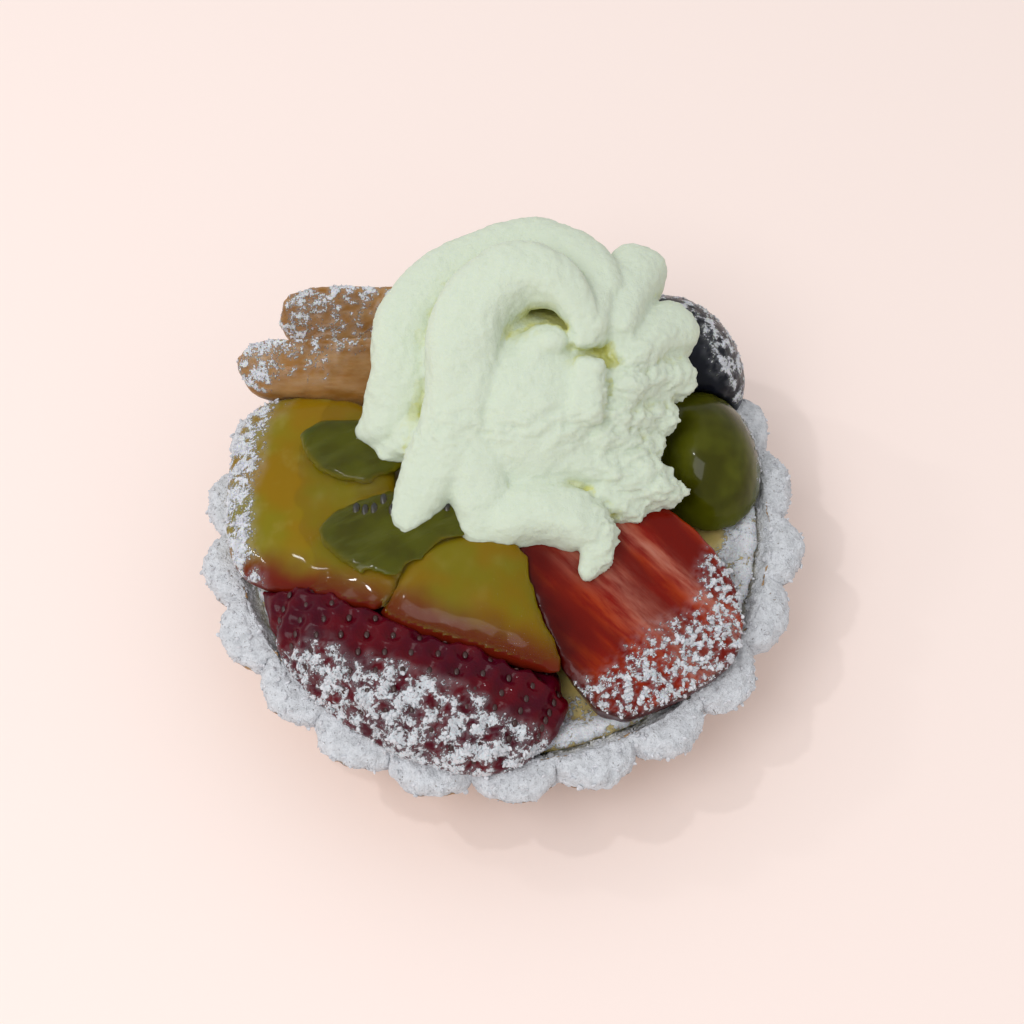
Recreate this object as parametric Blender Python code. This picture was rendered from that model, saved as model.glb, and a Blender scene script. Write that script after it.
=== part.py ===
"""Glazed fruit tartlet: a fluted shortcrust shell with custard, cut fruit and a piped rosette of cream.

Frame: origin at the middle of the shell's flat base, +Z up, -Y towards the eater, metres.
"""

import math

import bmesh
import bpy
from mathutils import Euler, Vector

MM = 0.001
GAP = 0.35 * MM  # air left between pieces that touch

# The shell: a shallow cup with fluted walls that lean out to a scalloped rim.
SCALLOPS = 22
FIRST_SCALLOP = math.radians(174.0)
RIM_RADIUS = 45.0 * MM
RIM_HEIGHT = 20.0 * MM
BASE_RADIUS = 31.0 * MM
SCALLOP_DEPTH = 3.4 * MM
WALL = 4.6 * MM
FLOOR = 4.5 * MM

# The custard reaches nearly to the rim and is slightly domed under the fruit.
CUSTARD_EDGE = 17.6 * MM
CUSTARD_RISE = 2.0 * MM

OUTLINE_SPACING = 4.0  # between points on a cut piece's edge, in millimetres

# The rosette: ribs of cream that start at pointed feet on the fruit and wind up to the middle, round a heart.
# Each rib is given from its foot to its inner end: where its middle line runs and how thick it is there, in
# millimetres.
CREAM_RIBS = (
    ((-22, 7.5, 30.5, 0.8), (-18.5, 8.5, 31.5, 3.6), (-16, 11, 33, 4.6), (-14.5, 15, 36, 5), (-14, 21.5, 39, 5),
     (-9, 27.5, 41, 5), (-2, 31, 42, 5), (5.5, 32, 43, 5), (12.5, 27, 44, 4.5), (14, 20, 44, 4)),
    ((-19, 4, 30.5, 1), (-14.5, 6, 31.5, 3.4), (-11, 9, 34, 4)),
    ((-16, -11, 29.5, 0.8), (-13.5, -6.5, 30.5, 3), (-10.5, -1.5, 32.5, 4.6), (-7, 4, 36, 5.4), (-5.5, 9.5, 39.5, 5.6),
     (-5.5, 15.5, 43.5, 5.6), (-3, 20.5, 46.5, 5.2), (2.5, 23.5, 48.5, 4.8), (8, 21.5, 49, 3.6),
     (11, 17.5, 47.5, 2.4), (12, 13, 45, 1.8)),
    ((-3, -12, 29.5, 1.8), (-3, -6, 31.5, 4), (-3.5, 1, 35.5, 4.2), (-4.5, 7, 38, 4.5)),
    ((5, 2.5, 34, 4.6), (4.5, 8, 38.5, 3.9), (4.5, 13, 42.5, 3.6), (6.5, 14.5, 45, 2.6), (8, 12, 45.5, 2)),
    ((11, 3.5, 39.5, 3.6), (12, 8.5, 42.5, 2.8), (12.5, 12, 45, 2.2)),
    ((13, 30, 43, 3.5), (13, 21.5, 45, 3.3), (12.5, 14, 46, 2.5)),
    ((21, 33, 40, 4.8), (17.5, 24, 42.5, 4.2), (15.5, 15, 44, 3.2)),
    ((27, 23, 37, 4.6), (21.5, 18.5, 40, 4), (16.5, 11.5, 42, 3.2)),
    ((27.5, 15.5, 35, 3.4), (21, 13, 38, 3.5), (15, 8, 41, 3.2)),
    ((25, 9.5, 33, 2.8), (19, 8, 36, 3.2), (13, 5, 39, 3.2)),
    ((23, 4.5, 31.5, 2.4), (17.5, 4.5, 34.5, 3.2), (11, 3, 37.5, 3.6)),
    ((27, -1.5, 30.5, 0.8), (22.5, -1.5, 31, 3.2), (16, 1, 32.5, 4.6), (8, 2.5, 34.5, 4.8), (3, 3.5, 36, 4.6)),
    ((20.5, -5.5, 30, 1.6), (17, -4, 31, 2.8), (12.5, -1, 32.5, 3)),
    ((-2.5, -9, 30, 3.8), (1.5, -7, 31.5, 4.4), (6.5, -6.5, 32, 4.5), (11.5, -8.5, 31.5, 4), (13.5, -11.5, 30.5, 2.8),
     (11.5, -16, 29.5, 1)),
)
CREAM_SQUARE = 2.8  # 2 for a round rib, more for one with a flatter top and sharper edges
CREAM_SPACING = 1.8  # between rings along a rib, in millimetres
# middle, then half its length, width and height, for the dome under the ribs, its fuller front, and the back,
# which stands on the custard
CREAM_HEARTS = (
    ((4.0, 12.5, 29.0), (17.0, 17.5, 16.5)),
    ((9.5, 5.5, 29.0), (13.0, 9.5, 9.5)),
    ((3.0, 19.0, 20.5), (14.0, 14.5, 23.0)),
)
CREAM_VOXEL = 1.0 * MM
CREAM_FACES_KEPT = 0.13


def clear_scene():
    for item in list(bpy.data.objects):
        bpy.data.objects.remove(item)


def food(name, colour, roughness):
    """A plain Principled material for one kind of food."""
    material = bpy.data.materials.new(name)
    material.use_nodes = True
    shader = material.node_tree.nodes["Principled BSDF"]
    shader.inputs["Base Color"].default_value = (*colour, 1.0)
    shader.inputs["Roughness"].default_value = roughness
    shader.inputs["Metallic"].default_value = 0.0
    material.diffuse_color = (*colour, 1.0)
    return material


def loft(name, rings, material):
    """A closed solid through rings of points. A ring of one point is a pole, and any other end ring is capped."""
    shape = bmesh.new()
    loops = [[shape.verts.new(point) for point in ring] for ring in rings]
    for low, high in zip(loops, loops[1:]):
        count = max(len(low), len(high))
        for k in range(count):
            corners = [low[k % len(low)], low[(k + 1) % len(low)]]
            corners += [high[(k + 1) % len(high)], high[k % len(high)]]
            shape.faces.new(list(dict.fromkeys(corners)))
    for end in (loops[0], loops[-1]):
        if len(end) > 1:
            shape.faces.new(end)
    bmesh.ops.recalc_face_normals(shape, faces=shape.faces)
    mesh = bpy.data.meshes.new(name)
    shape.to_mesh(mesh)
    shape.free()
    mesh.shade_smooth()
    mesh.materials.append(material)
    item = bpy.data.objects.new(name, mesh)
    bpy.context.scene.collection.objects.link(item)
    return item


def place(item, where, turn):
    """Puts a fruit at a place in millimetres, turned by degrees about X, then Y, then Z."""
    item.location = Vector(where) * MM
    item.rotation_euler = Euler([math.radians(a) for a in turn])
    return item


def seat(item, *neighbours):
    """Cuts a piece back from what it lies on, leaving the gap."""
    for neighbour in neighbours:
        guide = bpy.data.objects.new("seat_" + item.name + "_" + neighbour.name, neighbour.data)
        bpy.context.scene.collection.objects.link(guide)
        guide.location = neighbour.location
        guide.rotation_euler = neighbour.rotation_euler
        guide.hide_render = True
        guide.display_type = "WIRE"
        grow = guide.modifiers.new("grow", "DISPLACE")
        grow.mid_level = 0.0
        grow.strength = GAP
        cut = item.modifiers.new("seat on " + neighbour.name, "BOOLEAN")
        cut.operation = "DIFFERENCE"
        cut.solver = "EXACT"
        cut.object = guide
    return item


# ---------------------------------------------------------------- shell and custard


def scallop(angle):
    """1 on the crest of a scallop, 0 in the notch between two."""
    return abs(math.cos((angle - FIRST_SCALLOP) * SCALLOPS / 2)) ** 0.7


def make_shell(material):
    # radius, height and flute depth from the middle of the base, up the outside and down the inside
    lean = (RIM_RADIUS - BASE_RADIUS) / RIM_HEIGHT
    profile = [
        (BASE_RADIUS - 1.5 * MM, 0.0, 0.3),
        (BASE_RADIUS, 1.2 * MM, 0.5),
        (BASE_RADIUS + lean * 10 * MM, 10.0 * MM, 0.75),
        (RIM_RADIUS - 1.2 * MM, RIM_HEIGHT - 4.2 * MM, 0.95),
        (RIM_RADIUS, RIM_HEIGHT - 1.9 * MM, 1.0),
        (RIM_RADIUS - 1.3 * MM, RIM_HEIGHT - 0.3 * MM, 0.8),
        (RIM_RADIUS - WALL, RIM_HEIGHT, 0.25),
        (RIM_RADIUS - WALL - 1.6 * MM, RIM_HEIGHT - 1.6 * MM, 0.0),
        (BASE_RADIUS - 1.8 * MM, FLOOR, 0.0),
    ]
    steps = SCALLOPS * 6
    angles = [FIRST_SCALLOP + 2 * math.pi * k / steps for k in range(steps)]
    rings = [[(0.0, 0.0, 0.0)]]
    for radius, height, flute in profile:
        depth = SCALLOP_DEPTH * flute
        ring = []
        for angle in angles:
            reach = radius - depth * (1 - scallop(angle))
            ring.append((reach * math.cos(angle), reach * math.sin(angle), height))
        rings.append(ring)
    rings.append([(0.0, 0.0, FLOOR)])
    return loft("pastry_shell", rings, material)


def make_custard(material):
    steps = 44
    room = 0.5 * MM
    slope = (RIM_RADIUS - WALL - BASE_RADIUS + 0.2 * MM) / (RIM_HEIGHT - 1.6 * MM - FLOOR)
    foot = BASE_RADIUS - 1.8 * MM - room
    edge = foot + slope * (CUSTARD_EDGE - FLOOR)
    rings = [[(0.0, 0.0, FLOOR + room)]]
    profile = [(foot, FLOOR + room), (edge, CUSTARD_EDGE)]
    profile += [(edge * share, CUSTARD_EDGE + CUSTARD_RISE * (1 - share * share)) for share in (0.8, 0.45)]
    for radius, height in profile:
        rings.append([
            (radius * math.cos(a), radius * math.sin(a), height)
            for a in (2 * math.pi * k / steps for k in range(steps))
        ])
    rings.append([(0.0, 0.0, CUSTARD_EDGE + CUSTARD_RISE)])
    return loft("custard", rings, material)


# ---------------------------------------------------------------- fruit

# The line round the widest part of each cut piece, as plan points in millimetres, anticlockwise from above.
# A smooth closed curve runs through them. The line lies in a tilted plane: its height at the shell's axis,
# then its rise for each millimetre towards +X and towards +Y.
GOLDEN_SLICE = ((-37, 18), (-41, 9), (-41, -3), (-38, -12), (-29, -16.5), (-17, -20), (-14, -12), (-17, 8), (-22, 16))
GOLDEN_SLICE_PLANE = (33.0, 0.24, 0.03)
GOLDEN_WEDGE = ((-19.5, -18), (-16, -22), (-3, -26.5), (9, -29), (6, -21), (3, -9), (-9, -9.5))
GOLDEN_WEDGE_PLANE = (32.0, 0.03, 0.22)
STRAWBERRY_SKIN_UP = ((-35, -13), (-29, -28), (-15, -38.5), (-1, -42), (8, -36), (8, -27), (-8, -19), (-27, -11))
STRAWBERRY_SKIN_UP_PLANE = (22.5, 0.0, 0.04)
STRAWBERRY_CUT_UP = ((1.5, -10), (4, -19), (10, -30), (17, -34.5), (32, -26), (34, -16), (28, -6), (16, -1))
STRAWBERRY_CUT_UP_PLANE = (32.5, -0.15, 0.19)
KIWI_BACK = ((-30.5, 8.5), (-27, 1.5), (-19, -1), (-13.5, 4), (-16, 10), (-27, 11))
KIWI_BACK_PLANE = (31.0, 0.0, 0.0)
KIWI_FRONT = ((-27, -7.5), (-23, -13.5), (-16, -17), (-4, -11), (-5, -5), (-17, -2))
KIWI_FRONT_PLANE = (33.0, 0.07, 0.09)
PEACH_BACK = ((-33.5, 33), (-31.5, 26.3), (-16, 26), (-10.5, 30), (-13, 33.5))
PEACH_BACK_PLANE = (2.5, 0.0, 0.93)
PEACH_FRONT = ((-39, 24), (-41, 22), (-39, 19), (-30, 17.8), (-15, 17.2), (-12, 21), (-14, 24.5))
PEACH_FRONT_PLANE = (10.0, 0.03, 0.98)


def smooth_curve(points, spacing, closed):
    """The smooth curve through the points, as new points about that far apart."""
    points = [Vector(point) for point in points]
    curve = []
    count = len(points)
    for k in range(count if closed else count - 1):
        start, end = points[k], points[(k + 1) % count]
        before = points[k - 1] if closed or k > 0 else 2 * start - end
        after = points[(k + 2) % count] if closed or k < count - 2 else 2 * end - start
        steps = max(1, round((end - start).length / spacing))
        for step in range(steps):
            t = step / steps
            curve.append(0.5 * (
                2 * start
                + (end - before) * t
                + (2 * before - 5 * start + 4 * end - after) * t**2
                + (3 * start - before - 3 * end + after) * t**3
            ))
    return curve if closed else curve + [points[-1]]


def make_piece(name, outline, plane, crown, depth, blunt, material):
    """A cut piece of fruit inside its outline. crown is how far its top swells above the outline and depth how
    far it reaches below, in millimetres. blunt is 0 for a lens with a thin edge and 1 for an upright edge."""
    height, towards_x, towards_y = plane
    rim = [
        Vector((p.x, p.y, height + towards_x * p.x + towards_y * p.y))
        for p in smooth_curve(outline, OUTLINE_SPACING, True)
    ]
    middle = sum(rim, Vector()) / len(rim)
    rings = [[(middle - Vector((0, 0, depth))) * MM]]
    for tilt in (-60, -28, 0, 22, 48, 70):
        size = math.cos(math.radians(tilt)) ** (1 - 0.75 * blunt)
        swell = (crown if tilt > 0 else depth) * math.sin(math.radians(tilt))
        rings.append([(middle + (p - middle) * size + Vector((0, 0, swell))) * MM for p in rim])
    rings.append([(middle + Vector((0, 0, crown))) * MM])
    return loft(name, rings, material)


def make_grape(name, length, width, depth, material):
    """Half a grape cut lengthwise: the cut face in the plane Z = 0, the skin above, long along X."""
    around, rows = 20, 6
    rings = [[(0.0, 0.0, 0.0)]]
    for row in range(rows):
        a = math.pi / 2 * row / rows
        rings.append([
            Vector((length / 2 * math.cos(b) * math.cos(a), width / 2 * math.sin(b) * math.cos(a), depth * math.sin(a))) * MM
            for b in (2 * math.pi * k / around for k in range(around))
        ])
    rings.append([(0.0, 0.0, depth * MM)])
    return loft(name, rings, material)


# ---------------------------------------------------------------- cream


def make_rib(name, points, material):
    """One rib of cream: round rings along its middle line, drawn in to a round point at both ends."""
    around = 12
    line = smooth_curve(points, CREAM_SPACING, False)
    centres = [p.to_3d() for p in line]
    walked = [0.0]
    for near, far in zip(centres, centres[1:]):
        walked.append(walked[-1] + (far - near).length)
    rings = []
    for k, (centre, here) in enumerate(zip(centres, line)):
        along = (centres[min(k + 1, len(centres) - 1)] - centres[max(k - 1, 0)]).normalized()
        side = along.cross(Vector((0, 0, 1))).normalized()
        up = side.cross(along)
        to_end = min(walked[k], walked[-1] - walked[k]) / here.w
        size = here.w * max(0.05, 1 - max(0.0, 1 - to_end) ** 3) ** (1 / 3)
        ring = []
        for a in (2 * math.pi * k / around for k in range(around)):
            reach = size / (abs(math.cos(a)) ** CREAM_SQUARE + abs(math.sin(a)) ** CREAM_SQUARE) ** (1 / CREAM_SQUARE)
            ring.append((centre + reach * (math.cos(a) * side + math.sin(a) * up)) * MM)
        rings.append(ring)
    return loft(name, rings, material)


def make_cream(material):
    pieces = [make_rib(f"rib_{k}", points, material) for k, points in enumerate(CREAM_RIBS)]
    for k, (middle, (length, width, height)) in enumerate(CREAM_HEARTS):
        pieces.append(place(make_grape(f"heart_{k}", 2 * length, 2 * width, height, material), middle, (0, 0, 0)))
    bpy.context.view_layer.update()
    cream = bpy.data.meshes.new("cream_rosette")
    whole = bmesh.new()
    for piece in pieces:
        piece.data.transform(piece.matrix_world)
        whole.from_mesh(piece.data)
        bpy.data.objects.remove(piece)
    whole.to_mesh(cream)
    whole.free()
    cream.materials.append(material)
    rosette = bpy.data.objects.new("cream_rosette", cream)
    bpy.context.scene.collection.objects.link(rosette)
    knit = rosette.modifiers.new("knit the ribs together", "REMESH")
    knit.mode = "VOXEL"
    knit.voxel_size = CREAM_VOXEL
    thin = rosette.modifiers.new("fewer faces", "DECIMATE")
    thin.ratio = CREAM_FACES_KEPT
    return rosette


def main():
    clear_scene()
    pastry = food("baked_pastry", (0.62, 0.40, 0.19), 0.8)
    filling = food("custard", (0.75, 0.55, 0.16), 0.45)
    gold = food("golden_fruit", (0.42, 0.29, 0.01), 0.25)
    amber = food("peach", (0.45, 0.20, 0.03), 0.25)
    green = food("kiwi", (0.11, 0.15, 0.02), 0.25)
    red = food("strawberry", (0.25, 0.01, 0.005), 0.3)
    white_grape = food("green_grape", (0.10, 0.12, 0.01), 0.15)
    black_grape = food("black_grape", (0.01, 0.01, 0.02), 0.3)
    cream = food("whipped_cream", (0.80, 0.82, 0.70), 0.6)

    shell = make_shell(pastry)
    custard = make_custard(filling)

    cut_up = make_piece("strawberry_cut_up", STRAWBERRY_CUT_UP, STRAWBERRY_CUT_UP_PLANE, 1.2, 9.5, 0.5, red)
    seat(cut_up, shell, custard)
    gold_left = make_piece("golden_slice", GOLDEN_SLICE, GOLDEN_SLICE_PLANE, 2.5, 6.0, 0.5, gold)
    seat(gold_left, shell, custard)
    gold_front = make_piece("golden_wedge", GOLDEN_WEDGE, GOLDEN_WEDGE_PLANE, 3.2, 3.5, 0.55, gold)
    seat(gold_front, custard, cut_up, gold_left)
    skin_up = make_piece("strawberry_skin_up", STRAWBERRY_SKIN_UP, STRAWBERRY_SKIN_UP_PLANE, 7.5, 3.0, 0.4, red)
    seat(skin_up, shell, custard, cut_up, gold_left, gold_front)

    peach_back = make_piece("peach_slice_back", PEACH_BACK, PEACH_BACK_PLANE, 0.8, 5.5, 0.85, amber)
    seat(peach_back, shell, custard)
    peach_front = make_piece("peach_slice_front", PEACH_FRONT, PEACH_FRONT_PLANE, 0.8, 5.5, 0.8, amber)
    seat(peach_front, shell, custard, peach_back, gold_left)

    kiwi_back = make_piece("kiwi_piece_back", KIWI_BACK, KIWI_BACK_PLANE, 0.8, 3.0, 0.8, green)
    seat(kiwi_back, gold_left, peach_front)
    kiwi_front = make_piece("kiwi_piece_front", KIWI_FRONT, KIWI_FRONT_PLANE, 0.8, 3.0, 0.8, green)
    seat(kiwi_front, gold_left, gold_front, kiwi_back, skin_up, cut_up)

    grape_green = place(make_grape("green_grape_half", 25, 18, 12, white_grape), (30.0, 9.5, 19.0), (0, 6, 100))
    seat(grape_green, shell, custard, cut_up)
    grape_black = place(make_grape("black_grape_half", 25, 19, 14, black_grape), (27.0, 27.0, 19.5), (0, 4, 128))
    seat(grape_black, shell, custard, grape_green)

    rosette = make_cream(cream)
    seat(rosette, custard, skin_up, cut_up, gold_left, gold_front, peach_back, peach_front)
    seat(rosette, grape_green, grape_black, kiwi_back, kiwi_front)


main()
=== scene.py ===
"""The looks of a glazed fruit tartlet: pastry, custard, cut fruit, clear glaze, cream and icing sugar."""

import math
import random

import bmesh
import bpy
import numpy as np
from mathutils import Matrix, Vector, noise
from mathutils.bvhtree import BVHTree


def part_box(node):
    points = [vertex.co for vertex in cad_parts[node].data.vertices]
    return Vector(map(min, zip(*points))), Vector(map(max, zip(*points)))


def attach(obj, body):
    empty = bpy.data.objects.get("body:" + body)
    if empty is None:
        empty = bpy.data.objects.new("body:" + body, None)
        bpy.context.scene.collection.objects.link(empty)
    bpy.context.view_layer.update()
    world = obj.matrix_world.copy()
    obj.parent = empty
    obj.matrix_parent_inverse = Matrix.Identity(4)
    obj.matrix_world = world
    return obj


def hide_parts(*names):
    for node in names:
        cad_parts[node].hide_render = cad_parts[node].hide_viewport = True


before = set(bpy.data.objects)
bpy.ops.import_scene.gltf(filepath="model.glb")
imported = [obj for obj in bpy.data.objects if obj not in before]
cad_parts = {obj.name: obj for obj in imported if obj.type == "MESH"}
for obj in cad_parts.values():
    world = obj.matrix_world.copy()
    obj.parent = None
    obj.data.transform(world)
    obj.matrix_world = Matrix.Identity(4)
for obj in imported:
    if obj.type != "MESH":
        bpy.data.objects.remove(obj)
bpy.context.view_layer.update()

bpy.context.scene.view_settings.view_transform = "Standard"

# ---------------------------------------------------------------- pastry shell
# A cup of sweet shortcrust, pressed by thumb into a fluted tin and baked blind, so its wall leans out and
# ends in soft scallops. Icing sugar is sieved over the finished tart and lies thick on the rim.

MM = 0.001
SCALLOPS = 22
FIRST_SCALLOP = math.radians(174.0)
SCALLOP_DEPTH = 3.4
COLUMNS = SCALLOPS * 32
ROW_STEP = 0.45
LOBE_REACH = (-0.5, 0.3)
LOBE_SHARPNESS = (0.55, 0.85)
RIM_HEIGHT = 17.0
RIM_DIP = 0.9
# radius and height in millimetres from the middle of the base, up the outside and down the inside, and how
# deep the flutes are there
SHELL_PROFILE = (
    (29.5, 0.0, 0.3), (31.0, 1.2, 0.5), (38.0, 10.0, 0.75), (43.8, 15.8, 0.95), (45.0, 18.1, 1.0),
    (43.7, 19.7, 0.8), (40.4, 20.0, 0.25), (38.8, 18.4, 0.0), (29.2, 4.5, 0.0),
)
PASTRY = (0.50, 0.29, 0.12)
PASTRY_BROWN = (0.22, 0.10, 0.035)
SUGAR = (0.76, 0.78, 0.82)
SUGAR_RELIEF = 0.5
GRAIN_RELIEF = 0.25
WATER_IOR = 1.33
SCATTER_DEPTH = 0.0015


class Wire:
    """An output socket of a node. Arithmetic on it adds Math nodes."""

    def __init__(self, tree, socket):
        self.tree = tree
        self.socket = socket

    def math(self, operation, *others):
        return self.tree.node("ShaderNodeMath", dict(enumerate((self, *others))), operation=operation)

    def __add__(self, other):
        return self.math("ADD", other)

    def __radd__(self, other):
        return self.math("ADD", other)

    def __sub__(self, other):
        return self.math("SUBTRACT", other)

    def __rsub__(self, other):
        return self.tree.node("ShaderNodeMath", {0: other, 1: self}, operation="SUBTRACT")

    def __mul__(self, other):
        return self.math("MULTIPLY", other)

    def __rmul__(self, other):
        return self.math("MULTIPLY", other)

    def rise(self, low, high):
        """0 below low, 1 above high, and smooth between."""
        sockets = {"Value": self, "From Min": low, "From Max": high}
        return self.tree.node("ShaderNodeMapRange", sockets, interpolation_type="SMOOTHSTEP")

    def mix(self, none, full):
        """The colour none where this is 0 and full where it is 1."""
        return self.tree.node("ShaderNodeMix", {0: self, 6: none, 7: full}, output=2, data_type="RGBA")


class Tree:
    """The nodes of a material, or of a Geometry Nodes group."""

    def __init__(self, tree):
        self.tree = tree

    def node(self, kind, sockets=None, output=0, **settings):
        made = self.tree.nodes.new(kind)
        for key, value in settings.items():
            setattr(made, key, value)
        for key, value in (sockets or {}).items():
            self.feed(made.inputs[key], value)
        return Wire(self, made.outputs[output])

    def feed(self, socket, value):
        if isinstance(value, Wire):
            self.tree.links.new(value.socket, socket)
        elif isinstance(value, tuple) and len(socket.default_value) == 4:
            socket.default_value = (*value, 1.0)
        else:
            socket.default_value = value

    def place(self):
        """Where the surface is, in millimetres."""
        here = self.node("ShaderNodeTexCoord", output=3)
        return self.node("ShaderNodeVectorMath", {0: here, "Scale": 1 / MM}, operation="SCALE")

    def cloud(self, place, size, detail=3.0, roughness=0.55):
        """Soft noise from 0 to 1, its lumps about size millimetres across."""
        sockets = {"Vector": place, "Scale": 1 / size, "Detail": detail, "Roughness": roughness}
        return self.node("ShaderNodeTexNoise", sockets)

    def drawn_out(self, place, turn, lengths):
        """The place turned about Z and shrunk by lengths, so that noise on it comes out as streaks."""
        sockets = {0: place, "Rotation": (0.0, 0.0, turn), "Scale": lengths}
        return self.node("ShaderNodeMapping", sockets, vector_type="TEXTURE")

    def named(self, attribute):
        return self.node("ShaderNodeAttribute", output=2, attribute_name=attribute)


def darker(colour, share):
    return tuple(c * share for c in colour)


def food(name, look, subsurface=0.0, radius=(1.0, 0.4, 0.2)):
    """A material under icing sugar. look gives the bare food's colour, roughness, coat and relief in mm."""
    material = bpy.data.materials.new(name)
    material.use_nodes = True
    tree = Tree(material.node_tree)
    shader = material.node_tree.nodes["Principled BSDF"]
    place = tree.place()
    colour, roughness, coat, relief = look(tree, place)
    grain = tree.cloud(place, 0.5, 3.0, 0.75)
    lies = tree.named("sugar")
    sugar = (lies + (grain - 0.5) * lies.rise(0.0, 0.25) * 2.6).rise(0.42, 0.62)
    lumps = tree.cloud(place, 1.4, 4.0, 0.65)
    white = lumps.rise(0.3, 0.6).mix(darker(SUGAR, 0.8), SUGAR)
    veiled = (lies * 0.3).mix(colour, white)
    tree.feed(shader.inputs["Base Color"], sugar.mix(veiled, white))
    tree.feed(shader.inputs["Roughness"], sugar * (0.95 - roughness) + roughness)
    tree.feed(shader.inputs["Coat Weight"], coat - sugar * coat)
    shader.inputs["Specular IOR Level"].default_value = 0.05
    shader.inputs["Coat Roughness"].default_value = 0.05
    shader.inputs["Coat IOR"].default_value = WATER_IOR
    shader.inputs["Subsurface Weight"].default_value = subsurface
    shader.inputs["Subsurface Radius"].default_value = radius
    shader.inputs["Subsurface Scale"].default_value = SCATTER_DEPTH
    height = relief + sugar * (lumps * SUGAR_RELIEF + grain * GRAIN_RELIEF)
    bump = tree.node("ShaderNodeBump", {"Height": height, "Distance": MM, "Strength": 1.0})
    tree.feed(shader.inputs["Normal"], bump)
    return material


def smoothstep(low, high, value):
    share = np.clip((value - low) / (high - low), 0.0, 1.0)
    return share * share * (3 - 2 * share)


def cloud(places, size, detail=3, shift=0.0):
    """Soft noise from about -1 to 1 at each place, its lumps about size millimetres across."""
    moved = (places / size + shift).tolist()
    return np.array([noise.fractal(p, 1.0, 2.0, detail) for p in moved])


def as_object(name, mesh):
    piece = bpy.data.objects.new(name, mesh)
    bpy.context.scene.collection.objects.link(piece)
    return piece


def shape_of(piece):
    """A piece's points in millimetres and its normals there."""
    mesh = piece.data
    places = np.empty(len(mesh.vertices) * 3, np.float32)
    mesh.vertices.foreach_get("co", places)
    normals = np.empty(len(mesh.vertices) * 3, np.float32)
    mesh.vertex_normals.foreach_get("vector", normals)
    return places.reshape(-1, 3).astype(float) / MM, normals.reshape(-1, 3).astype(float)


def reshape(piece, places):
    piece.data.vertices.foreach_set("co", (places * MM).astype(np.float32).ravel())
    piece.data.update()


def note(piece, name, values):
    """Stores a number for each point of a piece, for its material and for the sugar to read."""
    attribute = piece.data.attributes.get(name) or piece.data.attributes.new(name, "FLOAT", "POINT")
    attribute.data.foreach_set("value", np.asarray(values, np.float32))


def served(piece, material, slot, *nodes):
    """Finishes a piece: its material, and what it stands for in the frame."""
    piece.data.materials.clear()
    piece.data.materials.append(material)
    piece.data.shade_smooth()
    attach(piece, "root")
    if nodes:
        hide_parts(*nodes)


def ring_mesh(name, rings):
    """A closed mesh through rings of points, which ends in a pole at each end."""
    count = len(rings[0])
    points = [p for ring in rings for p in ring]
    faces = []
    for r in range(len(rings) - 1):
        for k in range(count):
            a, b = r * count + k, r * count + (k + 1) % count
            faces.append((a, b, b + count, a + count))
    for r in (0, len(rings) - 1):
        points.append(tuple(np.mean(rings[r], axis=0)))
        pole, start = len(points) - 1, r * count
        for k in range(count):
            edge = (start + k, start + (k + 1) % count)
            faces.append((*edge[::-1], pole) if r == 0 else (*edge, pole))
    mesh = bpy.data.meshes.new(name)
    mesh.from_pydata(points, [], faces)
    return mesh


def smooth_path(points, step):
    """Points about step apart along the smooth curve through the given ones."""
    points = [np.array(p, float) for p in points]
    curve = []
    for k in range(len(points) - 1):
        start, end = points[k], points[k + 1]
        before = points[k - 1] if k else 2 * start - end
        after = points[k + 2] if k < len(points) - 2 else 2 * end - start
        steps = max(1, round(float(np.linalg.norm(end - start)) / step))
        for t in np.arange(steps) / steps:
            curve.append(0.5 * (
                2 * start
                + (end - before) * t
                + (2 * before - 5 * start + 4 * end - after) * t**2
                + (3 * start - before - 3 * end + after) * t**3
            ))
    return curve + [points[-1]]


random.seed(11)
lobe_reach = [random.uniform(*LOBE_REACH) for _ in range(SCALLOPS)]
lobe_sharp = [random.uniform(*LOBE_SHARPNESS) for _ in range(SCALLOPS)]
shell_rows = []
for radius, height, flute in smooth_path(SHELL_PROFILE, ROW_STEP):
    ring = []
    for column in range(COLUMNS):
        turn = column / COLUMNS * SCALLOPS
        lobe = int(turn + 0.5) % SCALLOPS
        crest = abs(math.cos(math.pi * turn)) ** lobe_sharp[lobe]
        angle = FIRST_SCALLOP + 2 * math.pi * column / COLUMNS
        reach = radius - SCALLOP_DEPTH * flute * (1 - crest) + lobe_reach[lobe] * flute * crest
        dip = RIM_DIP * flute**2 * (1 - crest) if height > RIM_HEIGHT else 0.0
        ring.append((reach * math.cos(angle), reach * math.sin(angle), height - dip))
    shell_rows.append(ring)
shell = as_object("tart_shell", ring_mesh("tart_shell", shell_rows))
shell.data.transform(((MM, 0, 0, 0), (0, MM, 0, 0), (0, 0, MM, 0), (0, 0, 0, 1)))
places, normals = shape_of(shell)
outside = smoothstep(0.5, 3.0, places[:, 2])
lumps = cloud(places, 5.0) * 0.45 + cloud(places, 1.8, 4, 9.0) * 0.28
sugar = smoothstep(-0.60, 0.0, normals[:, 2] + 0.5 * cloud(places, 2.5, 4, 3.0))
sugar *= smoothstep(4.0, 13.0, places[:, 2])
drift = sugar * (0.18 + 0.3 * cloud(places, 1.0, 4, 5.0))
reshape(shell, places + normals * ((lumps * outside) + drift)[:, None])
note(shell, "sugar", sugar)


def pastry_look(tree, place):
    tone = tree.cloud(place, 5.0, 4.0)
    browned = tree.cloud(place, 14.0, 2.0).rise(0.4, 0.7)
    crumb = tree.cloud(place, 0.7, 3.0, 0.7)
    colour = browned.mix(tone.rise(0.25, 0.75).mix(PASTRY, darker(PASTRY, 0.8)), PASTRY_BROWN)
    return colour, 0.75, 0.0, crumb * 0.25


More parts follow.
